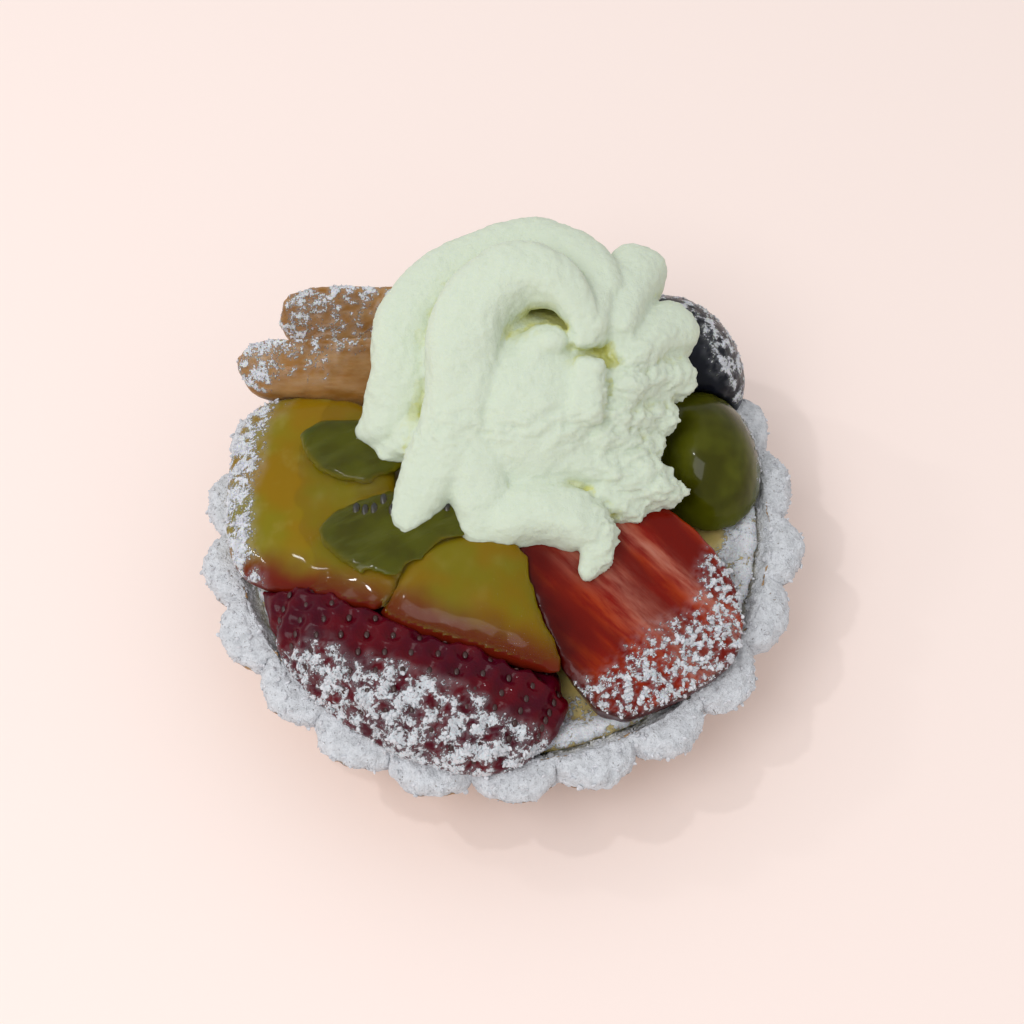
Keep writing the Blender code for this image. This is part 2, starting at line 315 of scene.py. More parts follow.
served(shell, food("baked_shortcrust", pastry_look), "baked_pastry", "pastry_shell")

# ---------------------------------------------------------------- custard
# Thick pastry cream, spooned into the shell and levelled just under the rim. The fruit hides nearly all of
# it, and it rises a little where it meets the pastry.

CUSTARD = (0.62, 0.48, 0.16)
CUSTARD_RISE = 1.6


def refined(node, name, voxel, passes, swell):
    """A piece in the shape of a CAD node, with small even faces, soft edges and no facets."""
    shape = bmesh.new()
    shape.from_mesh(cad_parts[node].data)
    bmesh.ops.remove_doubles(shape, verts=shape.verts, dist=0.01 * MM)
    mesh = bpy.data.meshes.new(name)
    shape.to_mesh(mesh)
    shape.free()
    piece = as_object(name, mesh)
    knit = piece.modifiers.new("even faces", "REMESH")
    knit.mode = "VOXEL"
    knit.voxel_size = 2 * voxel * MM
    soften = piece.modifiers.new("soft edges", "SMOOTH")
    soften.factor = 0.5
    soften.iterations = passes
    finer = piece.modifiers.new("finer faces", "SUBSURF")
    finer.levels = 1
    finer.render_levels = 1
    plain(piece)
    places, normals = shape_of(piece)
    reshape(piece, places + normals * swell)
    return piece


def plain(piece):
    """Turns what a piece's modifiers make into its own mesh."""
    evaluated = piece.evaluated_get(bpy.context.evaluated_depsgraph_get())
    mesh = bpy.data.meshes.new_from_object(evaluated)
    piece.modifiers.clear()
    old = piece.data
    piece.data = mesh
    bpy.data.meshes.remove(old)


def dusted(places, normals, start, cover, patch, spread=3.0, shift=0.0):
    """How much icing sugar lies at each place: none nearer the middle than start, and patches beyond."""
    out = np.hypot(places[:, 0], places[:, 1]) + spread * cloud(places, 7.0, 3, shift)
    edge = smoothstep(start - 1.0, start + 4.0, out)
    clumps = cloud(places, patch, 4, shift + 20.0)
    lies = smoothstep(-0.05, 0.35, normals[:, 2])
    return np.clip(0.5 + 1.1 * clumps + 1.2 * (cover - 0.5), 0.0, 1.0) * edge * lies


def sprinkle(piece, places, normals, sugar, thickness):
    """Raises a piece's surface where icing sugar lies on it, and notes the sugar for the material."""
    drift = sugar * thickness * (0.8 + 0.7 * cloud(places, 0.9, 3, 5.0))
    reshape(piece, places + normals * drift[:, None])
    note(piece, "sugar", sugar)


custard = refined("custard", "custard_filling", 0.5, 4, 0.9)
places, normals = shape_of(custard)
top = smoothstep(12.0, 17.0, places[:, 2])
risen = CUSTARD_RISE * smoothstep(33.0, 37.0, np.hypot(places[:, 0], places[:, 1]))
places[:, 2] += (0.4 * cloud(places, 5.0) + risen) * top
sprinkle(custard, places, normals, dusted(places, normals, 31.0, 1.0, 2.0), 0.3)


def custard_look(tree, place):
    tone = tree.cloud(place, 3.0).rise(0.3, 0.7)
    return tone.mix(CUSTARD, darker(CUSTARD, 0.75)), 0.35, 0.6, tree.cloud(place, 2.0) * 0.2


served(custard, food("pastry_cream", custard_look, 0.15), "custard", "custard")

# ---------------------------------------------------------------- peach slices
# Two tinned peach slices lean back against each other like roof tiles. Their cut faces are wet with glaze and
# only their outer ends and thin upper edges have caught sugar.

PEACH = (0.31, 0.135, 0.025)
PEACH_PALE = (0.45, 0.27, 0.12)


def peach_look(tree, place):
    streak = tree.cloud(tree.drawn_out(place, 0.0, (8.0, 2.0, 2.0)), 1.0, 4.0).rise(0.35, 0.7)
    tone = tree.cloud(place, 6.0).rise(0.3, 0.7)
    colour = (streak * 0.6).mix(tone.mix(PEACH, darker(PEACH, 0.75)), PEACH_PALE)
    return colour, 0.3, 0.4, streak * 0.08


peach_flesh = food("peach_flesh", peach_look, 0.2, (1.0, 0.5, 0.2))
for node, name in (("peach_slice_back", "peach_slice_rear"), ("peach_slice_front", "peach_slice_fore")):
    slice_ = refined(node, name, 0.4, 8, 0.15)
    places, normals = shape_of(slice_)
    places += normals * (0.25 * cloud(places, 4.0))[:, None]
    rim_edge = smoothstep(0.55, 0.9, normals[:, 2])
    outer_end = dusted(places, normals, 39.0, 0.42, 1.5)
    upper_edge = rim_edge * dusted(places, normals, 30.0, 0.5, 1.2)
    sprinkle(slice_, places, normals, np.maximum(outer_end, upper_edge), 0.2)
    served(slice_, peach_flesh, "peach", node)

# ---------------------------------------------------------------- golden slices
# A broad slice and a wedge of soft golden fruit lie flat over the custard. The wedge thins to a clear edge,
# so the red of the strawberry under it shows through as orange.

GOLDEN = (0.205, 0.17, 0.004)
GOLDEN_DEEP = (0.25, 0.14, 0.001)
GOLDEN_PALE = (0.30, 0.25, 0.05)
OVER_BERRY = (0.14, 0.010, 0.003)
BERRY_LINE = ((-35.0, -12.5), (9.0, -29.0))


def golden_look(tree, place):
    tone = tree.cloud(place, 9.0, 2.0).rise(0.35, 0.65)
    pale = tree.cloud(place, 4.0, 3.0).rise(0.5, 0.8)
    flesh = (pale * 0.5).mix(tone.mix(GOLDEN, GOLDEN_DEEP), GOLDEN_PALE)
    edge = tree.named("thin_edge")
    colour = edge.mix(flesh, OVER_BERRY)
    return colour, 0.3, 0.4, tree.cloud(place, 5.0, 2.0) * 0.1


golden_flesh = food("golden_fruit_flesh", golden_look, 0.2, (1.0, 0.7, 0.1))
line_start, line_end = (np.array(p) for p in BERRY_LINE)
line_along = (line_end - line_start) / np.linalg.norm(line_end - line_start)
line_across = np.array((-line_along[1], line_along[0]))
for node, name in (("golden_slice", "golden_slice_broad"), ("golden_wedge", "golden_slice_wedge")):
    slice_ = refined(node, name, 0.45, 10, 0.2)
    places, normals = shape_of(slice_)
    places += normals * (0.25 * cloud(places, 7.0, 2))[:, None]
    over = (places[:, :2] - line_start) @ line_across
    note(slice_, "thin_edge", 1 - smoothstep(-0.5, 4.5, over + 0.8 * cloud(places, 4.0)))
    sprinkle(slice_, places, normals, dusted(places, normals, 36.0, 0.72, 1.7, 2.0), 0.2)
    served(slice_, golden_flesh, "golden_fruit", node)

# ---------------------------------------------------------------- strawberries
# One strawberry cut in half lengthwise: a half with its dimpled, seeded skin up, and a half with its cut
# face up, which shows the pale streaks of the core. Glaze covers their inner sides, and sugar the outer.

SKIN = (0.060, 0.001, 0.009)
SKIN_RED = (0.10, 0.001, 0.006)
FLESH = (0.22, 0.006, 0.001)
FLESH_ORANGE = (0.34, 0.030, 0.001)
FLESH_RIM = (0.05, 0.0005, 0.0002)
CORE_PALE = (0.46, 0.17, 0.12)
SEED = (0.045, 0.008, 0.006)
DIMPLE_PITCH = 4.0
DIMPLE_RADIUS = 1.9
DIMPLE_DEPTH = 0.8
BERRY_TURN = math.radians(-24.0)
STREAK_TURN = math.radians(-42.0)
CORE_MIDDLE = (15.5, -12.0)
BERRY_RADIUS = 12.0
ROW_SPACING = 0.87


def skin_look(tree, place):
    tone = tree.cloud(place, 5.0).rise(0.35, 0.65)
    return tone.mix(SKIN, SKIN_RED), 0.3, 0.35, tree.cloud(place, 1.2, 3.0) * 0.22


skin_up = refined("strawberry_skin_up", "strawberry_half_skin", 0.3, 10, 0.25)
tree_of_skin = BVHTree.FromObject(skin_up, bpy.context.evaluated_depsgraph_get())
low, high = (np.array(v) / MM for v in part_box("strawberry_skin_up"))
middle = (low + high) / 2
middle[2] = low[2] + 2.0
along = np.array((math.cos(BERRY_TURN), math.sin(BERRY_TURN), 0.0))
across = np.array((-along[1], along[0], 0.0))
dimples = []
for row in range(-8, 9):
    axis = middle + along * row * DIMPLE_PITCH * ROW_SPACING
    for column in range(-6, 7):
        roll = math.radians(90) + (column + 0.5 * (row % 2)) * DIMPLE_PITCH / BERRY_RADIUS
        ray = across * math.cos(roll) + np.array((0, 0, math.sin(roll)))
        hit, normal, _, _ = tree_of_skin.ray_cast(Vector(axis * MM), Vector(ray))
        if hit is not None and normal.z > 0.05:
            dimples.append((np.array(hit) / MM, np.array(normal)))
places, normals = shape_of(skin_up)
places += normals * (0.35 * cloud(places, 6.0, 2))[:, None]
depth = np.zeros(len(places))
for centre, _ in dimples:
    away = np.linalg.norm(places - centre, axis=1)
    depth = np.maximum(depth, 1 - smoothstep(0.2, DIMPLE_RADIUS, away))
places -= normals * (DIMPLE_DEPTH * depth)[:, None]
below = -((places[:, :2] - line_start) @ line_across) + 2.0 * cloud(places, 5.0, 3, 7.0)
clumps = np.clip(0.52 + 0.9 * cloud(places, 1.8, 4, 27.0) + 0.4 * cloud(places, 0.7, 3, 2.0), 0.0, 1.0)
sprinkle(skin_up, places, normals, clumps * smoothstep(7.0, 10.5, below), 0.35)
served(skin_up, food("strawberry_skin", skin_look, 0.1, (1.0, 0.1, 0.1)), "strawberry", "strawberry_skin_up")


def plain_material(name, colour, roughness, coat=0.0):
    """One even finish, for pieces too small to show more."""
    material = bpy.data.materials.new(name)
    material.use_nodes = True
    tree = Tree(material.node_tree)
    shader = material.node_tree.nodes["Principled BSDF"]
    tone = tree.cloud(tree.place(), 1.5, 2.0).rise(0.3, 0.7)
    tree.feed(shader.inputs["Base Color"], tone.mix(colour, darker(colour, 0.7)))
    shader.inputs["Roughness"].default_value = roughness
    shader.inputs["Coat Weight"].default_value = coat
    return material


def points_group(name, *numbers):
    """Opens a Geometry Nodes group that takes points and the named numbers. Gives its tree and its inputs."""
    group = bpy.data.node_groups.new(name, "GeometryNodeTree")
    group.interface.new_socket("Geometry", in_out="INPUT", socket_type="NodeSocketGeometry")
    for number in numbers:
        group.interface.new_socket(number, in_out="INPUT", socket_type="NodeSocketFloat")
    group.interface.new_socket("Geometry", in_out="OUTPUT", socket_type="NodeSocketGeometry")
    tree = Tree(group)
    given = group.nodes.new("NodeGroupInput")
    return tree, [Wire(tree, given.outputs[k]) for k in range(1 + len(numbers))]


def lay_copies(tree, points, shape, turn, size, material):
    """Ends a group: a real copy of the shape at each point, in the material."""
    sockets = {"Points": points, "Instance": shape, "Rotation": turn, "Scale": size}
    copies = tree.node("GeometryNodeInstanceOnPoints", sockets)
    real = tree.node("GeometryNodeRealizeInstances", {0: copies})
    done = tree.node("GeometryNodeSetMaterial", {"Geometry": real, "Material": material})
    out = tree.tree.nodes.new("NodeGroupOutput")
    tree.feed(out.inputs[0], done)
    return tree.tree


def pip_nodes(material):
    """A Geometry Nodes group that lays a flat pip along each point's stored facing."""
    tree, (points, length, width) = points_group("pips", "Pip length", "Pip width")
    facing = tree.node("GeometryNodeInputNamedAttribute", {"Name": "facing"}, data_type="FLOAT_VECTOR")
    ball = tree.node("GeometryNodeMeshIcoSphere", {"Radius": 0.5, "Subdivisions": 2})
    size = tree.node("ShaderNodeCombineXYZ", {0: width, 1: length, 2: width * 0.5})
    turn = tree.node("FunctionNodeAlignRotationToVector", {"Vector": facing}, axis="Z")
    return lay_copies(tree, points, ball, turn, size, material)


def set_inputs(modifier, **values):
    """Sets a Geometry Nodes modifier's inputs by the names of its sockets."""
    for item in modifier.node_group.interface.items_tree:
        key = item.name.lower().replace(" ", "_")
        if item.in_out == "INPUT" and key in values:
            modifier[item.identifier] = values[key]


def pips(name, spots, length, width, material):
    """A piece of pips at spots, each a place in mm and a facing."""
    mesh = bpy.data.meshes.new(name)
    mesh.from_pydata([tuple(place * MM) for place, _ in spots], [], [])
    facing = mesh.attributes.new("facing", "FLOAT_VECTOR", "POINT")
    facing.data.foreach_set("vector", np.array([n for _, n in spots], np.float32).ravel())
    piece = as_object(name, mesh)
    lay = piece.modifiers.new("pips", "NODES")
    lay.node_group = pip_nodes(material)
    set_inputs(lay, pip_length=length * MM, pip_width=width * MM)
    plain(piece)
    if "facing" in piece.data.attributes:
        piece.data.attributes.remove(piece.data.attributes["facing"])
    return piece


seed_spots = [(centre - normal * (DIMPLE_DEPTH - 0.05), normal) for centre, normal in dimples]
berry_seed = plain_material("strawberry_pip", SEED, 0.4, 0.3)
served(pips("strawberry_pips", seed_spots, 1.2, 0.8, berry_seed), berry_seed, "strawberry")


def flesh_look(tree, place):
    fibres = tree.cloud(tree.drawn_out(place, STREAK_TURN, (8.0, 1.4, 3.0)), 1.0, 4.0, 0.6)
    bands = tree.cloud(tree.drawn_out(place, STREAK_TURN, (20.0, 4.5, 10.0)), 1.0, 2.0)
    flesh = fibres.rise(0.35, 0.65).mix(FLESH, FLESH_ORANGE)
    core = tree.named("core") * fibres.rise(0.25, 0.75)
    colour = core.mix(bands.rise(0.35, 0.6).mix(flesh, darker(FLESH, 0.7)), CORE_PALE)
    return tree.named("rim").mix(colour, FLESH_RIM), 0.3, 0.35, fibres * 0.06


cut_up = refined("strawberry_cut_up", "strawberry_half_cut", 0.3, 8, 0.25)
places, normals = shape_of(cut_up)
places += normals * (0.3 * cloud(places, 5.0, 2))[:, None]
streak = np.array((math.cos(STREAK_TURN), math.sin(STREAK_TURN)))
side = (places[:, :2] - np.array(CORE_MIDDLE)) @ np.array((-streak[1], streak[0]))
wander = side + 1.0 * cloud(places, 6.0, 2, 4.0)
core = np.exp(-((wander - 5.0) / 1.2) ** 2) + 0.75 * np.exp(-((wander + 3.0) / 2.6) ** 2)
note(cut_up, "core", np.clip(core, 0, 1))
leftness = smoothstep(11.0, 4.0, places[:, 0] + 0.42 * (places[:, 1] + 18.0) + 1.0 * cloud(places, 5.0))
note(cut_up, "rim", np.maximum(leftness, 1 - smoothstep(0.35, 0.75, normals[:, 2])) * 0.95)
sprinkle(cut_up, places, normals, dusted(places, normals, 30.0, 0.42, 0.9, 2.5, 2.0), 0.25)
served(cut_up, food("strawberry_flesh", flesh_look, 0.2, (1.0, 0.2, 0.1)), "strawberry", "strawberry_cut_up")

# ---------------------------------------------------------------- kiwi pieces
# Two part slices of peeled kiwi lie sunk in the glaze, one behind the other, their green gone dull under it.
# A few black pips show along the inner edge of the front one.

KIWI = (0.068, 0.080, 0.001)
KIWI_PALE = (0.115, 0.135, 0.025)
KIWI_EDGE = (0.13, 0.11, 0.002)
KIWI_TURN = math.radians(25.0)
KIWI_PIP = (0.01, 0.008, 0.006)
KIWI_PIPS = 12
KIWI_PIP_PITCH = 1.3


def kiwi_look(tree, place):
    rays = tree.cloud(tree.drawn_out(place, KIWI_TURN, (7.0, 1.6, 2.5)), 1.0, 3.0).rise(0.45, 0.7)
    tone = tree.cloud(place, 5.0).rise(0.35, 0.65)
    flesh = (rays * 0.35).mix(tone.mix(KIWI, darker(KIWI, 0.6)), KIWI_PALE)
    return tree.named("thin_edge").mix(flesh, KIWI_EDGE), 0.35, 0.5, rays * 0.1


kiwi_flesh = food("kiwi_flesh", kiwi_look, 0.2, (0.6, 1.0, 0.2))
for node, name in (("kiwi_piece_back", "kiwi_slice_rear"), ("kiwi_piece_front", "kiwi_slice_fore")):
    slice_ = refined(node, name, 0.35, 14, 0.1)
    places, normals = shape_of(slice_)
    reshape(slice_, places + normals * (0.25 * cloud(places, 5.0, 2))[:, None])
    note(slice_, "sugar", np.zeros(len(places)))
    note(slice_, "thin_edge", smoothstep(0.97, 0.6, normals[:, 2] + 0.1 * cloud(places, 3.0)))
    served(slice_, kiwi_flesh, "kiwi", node)

random.seed(5)
low, high = (np.array(v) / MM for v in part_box("kiwi_piece_front"))
kiwi_spots = []
kiwi_top = BVHTree.FromObject(bpy.data.objects["kiwi_slice_fore"], bpy.context.evaluated_depsgraph_get())
for k in range(KIWI_PIPS):
    pip_x = low[0] + 6.0 + KIWI_PIP_PITCH * k
    start = Vector((pip_x, high[1] - 2.2 - 2.0 * random.random(), 60.0)) * MM
    hit = kiwi_top.ray_cast(start, Vector((0, 0, -1)))[0]
    if hit is not None:
        kiwi_spots.append((np.array(hit) / MM, np.array((random.uniform(-0.2, 0.2), -0.3, 1.0))))
kiwi_pip = plain_material("kiwi_pip", KIWI_PIP, 0.3, 0.5)
served(pips("kiwi_pips", kiwi_spots, 2.0, 1.1, kiwi_pip), kiwi_pip, "kiwi")

# ---------------------------------------------------------------- grapes
# A green grape and a black one, each cut in half lengthwise and laid skin up. The sugar clings to their outer
# sides in patches.

GREEN_GRAPE = (0.045, 0.045, 0.0005)
GREEN_GRAPE_LIT = (0.085, 0.090, 0.004)
BLACK_GRAPE = (0.006, 0.007, 0.012)
BLACK_GRAPE_LIT = (0.012, 0.014, 0.024)


def green_grape_look(tree, place):
    tone = tree.cloud(place, 6.0, 2.0).rise(0.35, 0.7)
    return tone.mix(GREEN_GRAPE, GREEN_GRAPE_LIT), 0.2, 0.4, tree.cloud(place, 4.0, 2.0) * 0.05


def black_grape_look(tree, place):
    tone = tree.cloud(place, 4.0, 3.0).rise(0.4, 0.7)
    colour = tone.mix(BLACK_GRAPE, BLACK_GRAPE_LIT)
    return colour, 0.3, 0.35, tree.cloud(place, 3.0) * 0.05


for node, name, look, start, cover in (
    ("green_grape_half", "grape_half_green", green_grape_look, 38.0, 0.42),
    ("black_grape_half", "grape_half_black", black_grape_look, 37.5, 0.42),
):
    half = refined(node, name, 0.4, 10, 0.2)
    places, normals = shape_of(half)
    sprinkle(half, places, normals, dusted(places, normals, start, cover, 1.3, 2.0, 6.0), 0.2)
    served(half, food(name + "_skin", look, 0.15, (0.6, 1.0, 0.2)), node.replace("_half", ""), node)

# ---------------------------------------------------------------- clear glaze
# Warm apricot glaze brushed over the middle of the fruit. It has run into the seams between the pieces, where
# it stands deepest, and set with a wet shine.

GLAZE_STEP = 0.45
GLAZE_REACH = 35.0
GLAZE_THICK = 0.22
GLAZE_BRIDGE = 2.4
GLAZE_DROP = 5.0
GLAZE_AMBER = (0.15, 0.10, 0.001)
GLAZE_FADE_START = 6.0
GLAZE_FADE_END = 2.5
GLAZED = ("custard_filling", "golden_slice_broad", "golden_slice_wedge", "kiwi_slice_rear", "kiwi_slice_fore")
# these stand up through the film
STANDING_CLEAR = ("strawberry_half_skin", "strawberry_half_cut", "grape_half_green")

depsgraph = bpy.context.evaluated_depsgraph_get()
surfaces = [BVHTree.FromObject(bpy.data.objects[name], depsgraph) for name in GLAZED + STANDING_CLEAR]
side = int(2 * GLAZE_REACH / GLAZE_STEP) + 1
ticks = np.linspace(-GLAZE_REACH, GLAZE_REACH, side)
under = np.zeros((side, side))
bare = np.zeros((side, side), bool)
for row, y in enumerate(ticks):
    for column, x in enumerate(ticks):
        start = Vector((x, y, 80.0)) * MM
        hits = [surface.ray_cast(start, Vector((0, 0, -1)))[0] for surface in surfaces]
        heights = [0.0 if hit is None else hit.z / MM for hit in hits]
        under[row, column] = max(heights)
        bare[row, column] = int(np.argmax(heights)) >= len(GLAZED)


def pooled(heights, bridge, highest):
    """Each height's highest or lowest neighbour within bridge, which is given in grid steps."""
    out = heights.copy()
    for dy in range(-bridge, bridge + 1):
        for dx in range(-bridge, bridge + 1):
            if dx * dx + dy * dy <= bridge * bridge:
                moved = np.roll(heights, (dy, dx), (0, 1))
                out = np.maximum(out, moved) if highest else np.minimum(out, moved)
    return out


bridge = round(GLAZE_BRIDGE / GLAZE_STEP)
film = pooled(pooled(under, bridge, True), bridge, False)
for _ in range(4):
    film = (film + sum(np.roll(film, step, axis) for step in (-1, 1) for axis in (0, 1)) * 0.5) / 3
across_x, across_y = np.meshgrid(ticks, ticks)
flat_places = np.stack((across_x, across_y, np.zeros_like(film)), -1).reshape(-1, 3)
out = np.hypot(across_x, across_y) + 2.0 * cloud(flat_places, 6.0).reshape(film.shape)
fade = smoothstep(GLAZE_REACH - GLAZE_FADE_START, GLAZE_REACH - GLAZE_FADE_END, out)
film = np.maximum(film, under) + GLAZE_THICK * (1 - fade) - 0.8 * fade
deep = film - under
points = np.stack((across_x, across_y, film), -1).reshape(-1, 3) * MM
wet = ((fade < 1) & (deep < GLAZE_DROP) & (under > 20.0) & ~bare).reshape(-1)
faces = []
for row in range(side - 1):
    for column in range(side - 1):
        a = row * side + column
        corners = (a, a + 1, a + 1 + side, a + side)
        if all(wet[c] for c in corners):
            faces.append(corners)
kept = sorted({c for face in faces for c in face})
order = {c: k for k, c in enumerate(kept)}
mesh = bpy.data.meshes.new("clear_glaze")
kept_faces = [tuple(order[c] for c in face) for face in faces]
mesh.from_pydata([tuple(points[c]) for c in kept], [], kept_faces)
glaze = as_object("clear_glaze", mesh)
note(glaze, "deep", deep.reshape(-1)[kept])
glaze_material = bpy.data.materials.new("apricot_glaze")
glaze_material.use_nodes = True
tree = Tree(glaze_material.node_tree)
shader = glaze_material.node_tree.nodes["Principled BSDF"]
place = tree.place()
shader.inputs["Base Color"].default_value = (*GLAZE_AMBER, 1.0)
shader.inputs["Roughness"].default_value = 0.05
shader.inputs["Specular IOR Level"].default_value = 0.4
tree.feed(shader.inputs["Alpha"], tree.named("deep").rise(0.4, 2.5) * 0.7 + 0.13)
ripple = tree.cloud(place, 3.5, 2.0)
crease = (tree.cloud(place, 2.2, 2.0) - 0.5).math("ABSOLUTE").rise(0.0, 0.12)
bump = tree.node("ShaderNodeBump", {"Height": ripple * 0.6 + crease * 0.25, "Distance": MM, "Strength": 1.0})
tree.feed(shader.inputs["Normal"], bump)
served(glaze, glaze_material, None)

# ---------------------------------------------------------------- whipped cream
# A rosette piped from a star nozzle: thick ribs start at pointed feet on the fruit and wind clockwise up to
# the middle. The cream has been whipped stiff, so its crests are crisp and its surface a little rough.

CREAM = (0.66, 0.735, 0.60)
# painted shade: the darker, yellower colour the cream is given in its creases
CREAM_CREASE_SHADE = (0.66, 0.66, 0.22)
CREAM_VOXEL = 0.38
CREAM_SQUARE = 2.8
RIB_SIDES = 32
RIB_STEP = 0.6
# how far the rays reach and how many go out, to find the creases for their painted shade
CREASE_REACH = 6.0
CREASE_RAYS = 10
# middle, then half its length, width and height, for the dome under the ribs, its fuller front, and the back,
# which stands on the custard
CREAM_HEARTS = (
    ((4.0, 12.5, 29.0), (17.0, 17.5, 16.5)), ((9.5, 5.5, 29.0), (13.0, 9.5, 9.5)),
    ((3.0, 19.0, 20.5), (14.0, 14.5, 23.0)),
)
# each rib from its foot to its inner end: where its middle line runs, from the middle of the base, and how
# thick it is there, in millimetres
RIBS = (
    ((-22, 7.5, 30.5, 0.8), (-18.5, 8.5, 31.5, 3.6), (-16, 11, 33, 4.6), (-14.5, 15, 36, 5),
     (-14, 21.5, 39, 5), (-9, 27.5, 41, 5), (-2, 31, 42, 5), (5.5, 32, 43, 5), (12.5, 27, 44, 4.5),
     (14, 20, 44, 4)),
    ((-19, 4, 30.5, 1), (-14.5, 6, 31.5, 3.4), (-11, 9, 34, 4)),
    ((-16, -11, 29.5, 0.8), (-13.5, -6.5, 30.5, 3), (-10.5, -1.5, 32.5, 4.6), (-7, 4, 36, 5.4),
     (-5.5, 9.5, 39.5, 5.6), (-5.5, 15.5, 43.5, 5.6), (-3, 20.5, 46.5, 5.2), (2.5, 23.5, 48.5, 4.8),
     (8, 21.5, 49, 3.6), (11, 17.5, 47.5, 2.4), (12, 13, 45, 1.8)),
    ((-3, -12, 29.5, 1.8), (-3, -6, 31.5, 4), (-3.5, 1, 35.5, 4.2), (-4.5, 7, 38, 4.5)),
    ((5, 2.5, 34, 4.6), (4.5, 8, 38.5, 3.9), (4.5, 13, 42.5, 3.6), (6.5, 14.5, 45, 2.6), (8, 12, 45.5, 2)),
    ((11, 3.5, 39.5, 3.6), (12, 8.5, 42.5, 2.8), (12.5, 12, 45, 2.2)),
    ((13, 30, 43, 3.5), (13, 21.5, 45, 3.3), (12.5, 14, 46, 2.5)),
    ((21, 33, 40, 4.8), (17.5, 24, 42.5, 4.2), (15.5, 15, 44, 3.2)),
    ((27, 23, 37, 4.6), (21.5, 18.5, 40, 4), (16.5, 11.5, 42, 3.2)),
    ((27.5, 15.5, 35, 3.4), (21, 13, 38, 3.5), (15, 8, 41, 3.2)),
    ((25, 9.5, 33, 2.8), (19, 8, 36, 3.2), (13, 5, 39, 3.2)),
    ((23, 4.5, 31.5, 2.4), (17.5, 4.5, 34.5, 3.2), (11, 3, 37.5, 3.6)),
    ((27, -1.5, 30.5, 0.8), (22.5, -1.5, 31, 3.2), (16, 1, 32.5, 4.6), (8, 2.5, 34.5, 4.8),
     (3, 3.5, 36, 4.6)),
    ((20.5, -5.5, 30, 1.6), (17, -4, 31, 2.8), (12.5, -1, 32.5, 3)),
    ((-2.5, -9, 30, 3.8), (1.5, -7, 31.5, 4.4), (6.5, -6.5, 32, 4.5), (11.5, -8.5, 31.5, 4),
     (13.5, -11.5, 30.5, 2.8), (11.5, -16, 29.5, 1)),
)


def rib_rows(points):
    """Rings round a rib's middle line, closing to a round end at each end of it."""
    line = np.array(smooth_path(points, RIB_STEP))
    centres, sizes = line[:, :3], line[:, 3]
    along = np.gradient(centres, axis=0)
    along /= np.linalg.norm(along, axis=1)[:, None]
    walked = np.concatenate(([0.0], np.cumsum(np.linalg.norm(np.diff(centres, axis=0), axis=1))))
    rows = []
    for k in range(len(line)):
        side = np.cross(along[k], (0, 0, 1))
        side /= np.linalg.norm(side)
        up = np.cross(side, along[k])
        to_end = min(walked[k], walked[-1] - walked[k]) / sizes[k]
        size = sizes[k] * max(0.02, 1 - max(0.0, 1 - to_end) ** 3) ** (1 / 3)
        row = []
        for a in np.linspace(0, 2 * math.pi, RIB_SIDES, endpoint=False):
            square = abs(math.cos(a)) ** CREAM_SQUARE + abs(math.sin(a)) ** CREAM_SQUARE
            reach = size / square ** (1 / CREAM_SQUARE)
            row.append(tuple(centres[k] + reach * (math.cos(a) * side + math.sin(a) * up)))
        rows.append(row)
    return rows


def depth_of(piece, places, normals, reach, rays):
    """How shut in each point of a piece is, from 0 in the open to 1, by rays sent out from it."""
    around = BVHTree.FromObject(piece, bpy.context.evaluated_depsgraph_get())
    spread = random.Random(3)
    directions = []
    while len(directions) < rays:
        direction = Vector((spread.uniform(-1, 1), spread.uniform(-1, 1), spread.uniform(-1, 1)))
        if 0.2 < direction.length < 1:
            directions.append(direction.normalized())
    shut = np.zeros(len(places))
    for k, (place, normal) in enumerate(zip(places, normals)):
        normal = Vector(normal)
        start = Vector(place * MM) + normal * (0.15 * MM)
        for direction in directions:
            out = direction if direction.dot(normal) > 0 else -direction
            if around.ray_cast(start, out, reach * MM)[0] is not None:
                shut[k] += 1
    return shut / rays


whole = bmesh.new()
for rib_points in RIBS:
    rib = ring_mesh("rib", rib_rows(rib_points))
    whole.from_mesh(rib)
    bpy.data.meshes.remove(rib)
for middle, size in CREAM_HEARTS:
    heart = bmesh.ops.create_uvsphere(whole, u_segments=48, v_segments=24, radius=1.0)["verts"]
    bmesh.ops.scale(whole, vec=size, verts=heart)
    bmesh.ops.translate(whole, vec=middle, verts=heart)
    for point in heart:
        point.co.z = max(point.co.z, middle[2])
bmesh.ops.scale(whole, vec=(MM, MM, MM), verts=whole.verts)
mesh = bpy.data.meshes.new("cream_swirl")
whole.to_mesh(mesh)
whole.free()
cream = as_object("cream_swirl", mesh)
knit = cream.modifiers.new("ribs in one", "REMESH")
knit.mode = "VOXEL"
knit.voxel_size = CREAM_VOXEL * MM
soften = cream.modifiers.new("soft crests", "SMOOTH")
soften.factor = 0.5
soften.iterations = 2
plain(cream)
places, normals = shape_of(cream)
torn = smoothstep(9.0, 17.0, places[:, 0]) * smoothstep(20.0, 10.0, places[:, 1])
torn = np.maximum(torn, smoothstep(6.0, 1.0, places[:, 1]) * smoothstep(-2.0, 3.0, places[:, 1]))
stretched = places * (0.45, 1.0, 1.6)
rough = (0.20 + 0.30 * torn) * cloud(places, 3.0, 4) + 0.12 * cloud(places, 0.9, 3, 4.0)
rough += 0.50 * torn * cloud(stretched, 1.1, 4, 8.0)
reshape(cream, places + normals * rough[:, None])
places, normals = shape_of(cream)
# how shut in each point is, which the material turns into painted shade in the creases
note(cream, "deep", depth_of(cream, places, normals, CREASE_REACH, CREASE_RAYS))


def cream_look(tree, place):
    # Painted shade: the cream turns darker and yellower where it lies shut in, in its creases.
    colour = tree.named("deep").rise(0.35, 0.95).mix(CREAM, CREAM_CREASE_SHADE)
    pores = tree.cloud(place, 0.6, 3.0, 0.7) * 0.14 + tree.cloud(place, 1.8, 3.0) * 0.20
    return colour, 0.6, 0.0, pores


